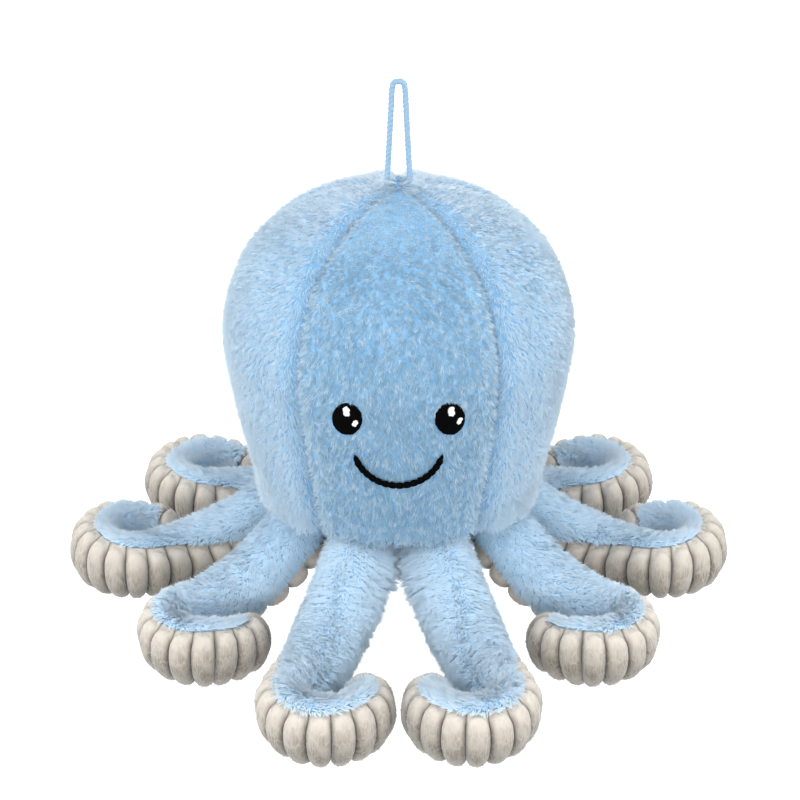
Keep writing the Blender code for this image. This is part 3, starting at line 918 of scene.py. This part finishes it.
def arm_line(pair, side):
    """One arm's places along it, a table for them and the side that its curl turns to. The table
    has the middle, the ways along, out of the pile and up, both sizes, the number of ribs up to
    there, evenly spaced on the outer side, and the rise of the cream."""
    root, aim, _, bend, hand, run, curl, first_radius, last_radius, lift = arm_pairs[pair]
    length = run + curl
    steps = steps_per_rib * round(length / rib_pitch)
    reach = np.linspace(0, length, steps + 1)
    step = length / steps
    place = np.where(reach <= run, reach / run, 1 + (reach - run) / curl)
    width, height = (np.interp(place, arm_sizes[:, 0], size) * mm for size in arm_sizes[:, 1:].T)
    fall = np.sin(pi / 2 * np.minimum(1, reach / drop_length))
    rise = height + lift + (root_height - root_radius - lift) * (1 - fall)
    curled = fade(reach, run, length)
    bending = -radians(bend) * step / run
    curling = step * ((1 - curled) / first_radius + curled / last_radius)
    turning = np.where(reach < run, bending, curling)
    heading = np.append(0, np.cumsum(turning)[:-1])
    ahead = outward(aim, side)
    to_curl = np.cross(ahead, up) * (side * hand)
    way = ahead * np.cos(heading)[:, None] + to_curl * np.sin(heading)[:, None]
    level = np.sqrt(step**2 - np.diff(rise) ** 2)[:, None] * way[1:]
    start = outward(root, side) * root_circle_radius
    middle = start + np.vstack([np.zeros(3), np.cumsum(level, axis=0)])
    middle[:, 2] = rise - hang_height
    along = np.vstack([middle[1] - middle[0], middle[2:] - middle[:-2], middle[-1] - middle[-2]])
    along = unit(along)
    inner = unit(np.cross(along, up)) * (side * hand)
    above = unit(up - along * along[:, 2:])
    rolled = fade(reach, roll_start, run)
    roll = curl_roll * rolled**2 * (3 - 2 * rolled) + tip_roll * curled**2
    fur = above * np.cos(roll)[:, None] + inner * np.sin(roll)[:, None]
    outer = np.append(0, np.cumsum((step + width * np.sin(roll) * turning)[:-1]))
    ribs = outer / outer[-1] * round(outer[-1] / rib_pitch)
    centre, spread, share = cream_rises[pair]
    sizes = np.column_stack([width, height, ribs, share * bell(place - centre, spread)])
    return reach, np.hstack([middle, along, fur, above, sizes]), side * hand


def arm_skin(line, angle, reach, lift):
    """The arm's surface at a reach along it and an angle round it, moved out by lift. The pile
    has the first half turn and the ribs the second. Both ends are round."""
    places, table, _ = line
    inside = np.clip(reach, 0, places[-1])
    rows = np.stack([np.interp(inside, places, column) for column in table.T], -1)
    middle, along, fur, above = rows[..., 0:3], rows[..., 3:6], rows[..., 6:9], rows[..., 9:12]
    along, fur, above = unit(along), unit(fur), unit(above)
    width, height = rows[..., width_column, None], rows[..., height_column, None]
    past = (reach - inside)[..., None] / width
    round_off = np.sqrt(np.clip(1 - past**2, 0, 1))
    middle = middle + along * (reach - inside)[..., None]
    beside = np.cross(above, along)
    angle = angle[..., None]
    way = np.cross(fur, along) * np.cos(angle) + fur * np.sin(angle)
    up_share = np.einsum("...i,...i", way, above)[..., None]
    side_share = np.einsum("...i,...i", way, beside)[..., None]
    facing = unit(above * up_share / height + beside * side_share / width)
    facing = unit(facing * round_off + along * past)
    surface = middle + (above * up_share * height + beside * side_share * width) * round_off
    return surface + facing * lift[..., None]


def drawn_back(angle, reach, line):
    """The angle with the strips' seams drawn up over the outer side of the curl and over its
    tip, where the ribbed strip wraps round."""
    places, table, curl_side = line
    past = fade(reach - places[-1], -5 * mm, 4 * mm)
    outer = curl_side * np.cos(angle) > 0
    left = 1 - np.where(outer, np.interp(reach, places, table[:, cream_column]), 0)
    left = left * (1 - 0.94 * past**2 * (3 - 2 * past))
    above, below = pi / 2, pi * 1.5
    upper, lower = above + (angle - above) * left, below + (angle - below) * (2 - left)
    return np.where(angle < pi, upper, lower)


def arm_ends(line):
    """How long an arm's line is, and how far its ends stand out at the root and the tip."""
    places, table, _ = line
    return places[-1], table[0, width_column], table[-1, width_column]


def reach_at(line, down, before, past):
    """The reach at a share of the way down an arm, between these shares of its round ends."""
    length, start, end = arm_ends(line)
    return -before * start + down * (length + before * start + past * end)


def closed_half(name, line, angles, reach, lift_of, uv_of):
    """A closed half of an arm: its outside over these angles and its inner face."""
    length, start, end = arm_ends(line)
    cap = np.linspace(0.02, pi / 2, 8)
    reach = np.concatenate([-start * np.cos(cap)[:-1], reach, length + end * np.cos(cap)[-2::-1]])
    reach, angle = np.meshgrid(reach, angles, indexing="ij")
    points = arm_skin(line, drawn_back(angle, reach, line), reach, lift_of(angle, reach))
    return ringed(name, points, np.stack(uv_of(angle, reach), -1))


arms = [
    (f"arm_{pair}_{place}", pair, side, arm_line(pair, side))
    for pair in arm_pairs for place, side in (("left", -1), ("right", 1))
]
# The place of each arm's root on the circle of roots, at the roots' height.
for arm, pair, side, _ in arms:
    hinge = outward(arm_pairs[pair][0], side) * root_circle_radius
    hinge = hinge + up * (root_height - hang_height)

# Tops of the arms
# A strip of blue plush over each arm's upper side, sewn to the ribbed strip along both edges.
# The front arms have a gathered seam down the middle of it.
arm_pile_depth = 2.2 * mm
edge_angle = radians(2)
half_turn = radians(176)
top_angles = np.linspace(edge_angle, edge_angle + half_turn, 26)
gather_pitch = 8 * mm
gather_depth = 1.8 * mm


def gathered(angle, reach, pair):
    """How deep the gathered middle seam draws the front arms' plush in."""
    if pair != "front":
        return np.zeros_like(angle)
    off = (angle - pi / 2) * 17 * mm
    pinch = 0.65 + 0.35 * np.cos(2 * pi * reach / gather_pitch)
    return gather_depth * bell(off, 1.7 * mm) * pinch * fade(reach, 10 * mm, 25 * mm)


arm_backing = napped("arm_plush_backing", (0.31, 0.52, 0.74), (0.24, 0.44, 0.66))
for arm, pair, _, line in arms:
    strip = closed_half(
        f"plush_{arm}", line, top_angles, line[0][::3],
        lambda angle, reach, pair=pair: -arm_pile_depth - gathered(angle, reach, pair),
        lambda angle, reach: (reach * 10, angle * 0.18),
    )
    sew_on(strip, arm_backing, f"{arm}_top", arm)

# Pile of the arms
# The same pile as on the head, but brushed up loose, so that it stands fluffier and hangs over
# the edges of the ribbed strip.
# A still paler copy of the same pile, painted light for the light that falls on the arms' tops
arm_lit_pile = pile_material(
    "arm_lit_plush_pile", (0.36, 0.59, 0.82), (0.56, 0.73, 0.88), (0.7, 0.82, 0.93),
    (0.47, 0.68, 0.87), 1.0,
)
for number, (arm, pair, side, line) in enumerate(arms):
    front, curl_side = pair == "front", line[2]

    def top_skin(across, down, line=line, pair=pair):
        angle = edge_angle + across * half_turn
        reach = reach_at(line, down, 0.9, 0.6)
        outer = 1 - across if line[2] > 0 else across
        overhang = radians(12 if pair == "front" else 5)
        edged = angle + np.where(line[2] > 0, -1, 1) * outer**4 * overhang
        drawn = drawn_back(edged, reach, line)
        return arm_skin(line, drawn, reach, -arm_pile_depth - gathered(edged, reach, pair))

    def parted(across, down, front=front):
        off = 2 * across - 1
        return (0.6, 0.8 * np.tanh(off * 5)) if front else (1.0, 0.4 * off + 0.9 * off**5)

    # Painted light and shade on the arms' pile: painted light on the outer side of the curl,
    # painted shade inside it, and painted shade near the root under the head, most of all on the
    # arms that are not at the front
    def painted_curl_light(across, down, front=front, curl_side=curl_side):
        inner = across if curl_side > 0 else 1 - across
        curled = fade(down, 0.4, 0.65) * (0.35 - 1.1 * fade(inner, 0.35, 0.75))
        return curled - (0.1 if front else 0.5) * fade(down, 0.35, 0)

    def beside_twin(across, down, front=front, side=side):
        near = across if side > 0 else 1 - across
        return front * fade(near, 0.75, 0.9) * fade(down, 0.32, 0.12)

    def towards_twin(across, down, beside_twin=beside_twin):
        edge = fade(np.abs(2 * across - 1), 0.75, 1)
        return 1 + 1.1 * beside_twin(across, down) - 0.3 * edge

    def standing_out(across, down, beside_twin=beside_twin):
        return 53 - 28 * beside_twin(across, down)

    spots = even_scatter(20000, 80 + number)
    if front:
        between = even_scatter(3000, 90 + number) * (0.22, 0.28) + (0.78, 0.04)
        if side < 0:
            between = np.column_stack([1 - between[:, 0], between[:, 1]])
        spots = np.vstack([spots, between])
    pile(
        f"pile_{arm}", arm_lit_pile, top_skin, spots, -1, 4.6 * mm, standing_out, 3.2 * mm,
        0.62 * mm, 100 + number, contrast=0.35, gather=0.5, bristle=0.2, comb_of=parted,
        longer=towards_twin, painted_light=painted_curl_light, arm=arm,
    )

# Undersides of the arms
# Cream plush with a short nap, sewn across into stuffed ribs, like a row of small pillows, each
# about 12 mm wide outside the curl. The sewn lines between them are sharp and deep, and the cloth
# is painted darker in and beside them, as painted shade.
under_angles = np.linspace(pi + edge_angle, pi + edge_angle + half_turn, 48)
groove_depth = 3.6 * mm
pillow_height = 4.1 * mm
rib_rows = np.array([0, 0.015, 0.05, 0.11, 0.2, 0.34, 0.5, 0.66, 0.8, 0.89, 0.95, 0.985])

rib_cloth, tree, shader = new_material("cream_ribbed_cloth", (0.6, 0.56, 0.5), 0.95)
rib_uv = put(tree, "UVMap", uv_map="cloth").outputs["UV"]
rib_parts = put(tree, "SeparateXYZ", {"Vector": rib_uv}).outputs
# Painted shade in the grooves: the cloth is painted darker towards each sewn line between the ribs
groove_shade_greys = ((0.05, 0.6), (0.11, 0.84), (0.2, 1), (0.8, 1), (0.89, 0.84), (0.95, 0.6))
groove_shade_stops = [(spot, (grey, 0.98 * grey, 0.94 * grey)) for spot, grey in groove_shade_greys]
groove_shade_stops = [(0, (0.2, 0.18, 0.16)), *groove_shade_stops, (1, (0.2, 0.18, 0.16))]
rib_groove_shade = ramp(tree, reckoned(tree, "FRACT", rib_parts["X"]), groove_shade_stops)
# The nap parts into fine branching lines, which run down the lower side of each rib.
rib_waver = noise(tree, rib_uv, 6, 2).outputs["Color"]
rib_wander = {"Factor": 0.1, 4: rib_uv, 5: rib_waver}
rib_wander = put(tree, "Mix", rib_wander, data_type="VECTOR").outputs[1]
rib_place = put(tree, "Mapping", {"Vector": rib_wander, "Scale": (9, 2.8, 1)})
rib_veins = put(
    tree, "TexVoronoi", {"Vector": rib_place.outputs["Vector"], "Scale": 1.0},
    feature="DISTANCE_TO_EDGE", voronoi_dimensions="2D",
)
rib_gaps = ranged(tree, rib_veins.outputs["Distance"], 0.02, 0.16)
rib_worn = ranged(tree, noise(tree, rib_uv, 2.6, 2).outputs["Fac"], 0.4, 0.62, 0.25)
# Painted shade: the lower side is painted darker, most of all straight below, where the light from
# above reaches least.
rib_under = ranged(tree, rib_parts["Y"], 3.5, 4.7, 1.0, 0.52)
rib_over = ranged(tree, rib_parts["Y"], 4.7, 5.9, 0.52, 1.0)
rib_painted_shade = reckoned(tree, "MAXIMUM", rib_under, rib_over)
rib_low = ranged(tree, rib_painted_shade, 0.97, 0.72)
rib_patches = reckoned(tree, "MULTIPLY", reckoned(tree, "MULTIPLY", rib_gaps, rib_worn), rib_low)
rib_tones = mixed(tree, rib_patches, (0.58, 0.545, 0.5, 1), (0.38, 0.34, 0.29, 1))
rib_tones_in_painted_shade = mixed(tree, 1.0, rib_tones, rib_painted_shade, blend_type="MULTIPLY")
rib_colour = mixed(tree, 1.0, rib_tones_in_painted_shade, rib_groove_shade, blend_type="MULTIPLY")
rib_bumps = bumped(tree, rib_patches, 0.6, 0.0005, invert=True)
join(tree, shader, {"Base Color": rib_colour, "Normal": rib_bumps})
join(tree, shader, {"Sheen Weight": 0.5, "Specular IOR Level": 0.1})

cream_nap = pile_material(
    "cream_ribbed_nap", (0.34, 0.3, 0.25), (0.5, 0.46, 0.4), (0.64, 0.6, 0.54),
    (0.4, 0.36, 0.3), 0.5,
)


def rib_number(reach, line):
    """Which rib a place is on, from the root on round the tip, with its share across it."""
    places, table, _ = line
    past = np.maximum(0, reach - places[-1]) / rib_pitch
    return np.interp(reach, places, table[:, rib_column]) + past


def ribbed(angle, reach, line):
    """The pillow shape of the ribs, flatter beside the seams and round the ends."""
    turn, past = rib_number(reach, line), reach - line[0][-1]
    beside = np.abs(2 * (turn - np.floor(turn)) - 1)
    from_seam = np.minimum(angle - pi, 2 * pi - angle)
    from_edge = fade(from_seam, radians(48), radians(12))
    petal = np.sqrt(np.clip(1 - (beside**2.2 + from_edge**2.2) ** (2 / 2.2), 0, 1))
    ends = fade(reach, -6 * mm, 0) * fade(past, 9 * mm, 0)
    return -groove_depth + pillow_height * (petal * ends + 0.45 * (1 - ends))


def across_rib(line, down):
    """How far a place down an arm's underside is from the middle of its rib, in ribs."""
    turn = rib_number(reach_at(line, down, 0.8, 0.97), line)
    return turn - np.floor(turn) - 0.5


for number, (arm, _, _, line) in enumerate(arms):
    ribs = line[1][:, rib_column]
    rows = np.append((np.arange(round(ribs[-1]))[:, None] + rib_rows).ravel(), ribs[-1])
    strip = closed_half(
        f"ribbed_{arm}", line, under_angles, np.interp(rows, ribs, line[0]),
        lambda angle, reach, line=line: ribbed(angle, reach, line),
        lambda angle, reach, line=line: (rib_number(reach, line), angle),
    )
    sew_on(strip, rib_cloth, f"{arm}_underside", arm)

    def rib_skin(across, down, line=line):
        angle, reach = pi + edge_angle + across * half_turn, reach_at(line, down, 0.8, 0.97)
        return arm_skin(line, drawn_back(angle, reach, line), reach, ribbed(angle, reach, line))

    def from_rib_middle(across, down, line=line):
        return 0.8 * across_rib(line, down), 1.0

    # Painted shade on the nap: darker straight below the arm, and paler towards the edges of the
    # strip, where more light falls
    def painted_shade_below(across, down):
        return 0.2 - 0.5 * (1 - np.abs(2 * across - 1)) ** 1.5

    spots = even_scatter(4500, 140 + number)
    spots = spots[np.abs(across_rib(line, spots[:, 1])) < 0.36]
    pile(
        f"nap_{arm}", cream_nap, rib_skin, spots, -1, 0.9 * mm, 50, 2.2 * mm, 0.36 * mm,
        160 + number, contrast=0.3, gather=0.2, loose=2.5, bristle=0.3, comb_of=from_rib_middle,
        painted_light=painted_shade_below, slot="cream_ribbed_plush", arm=arm,
    )
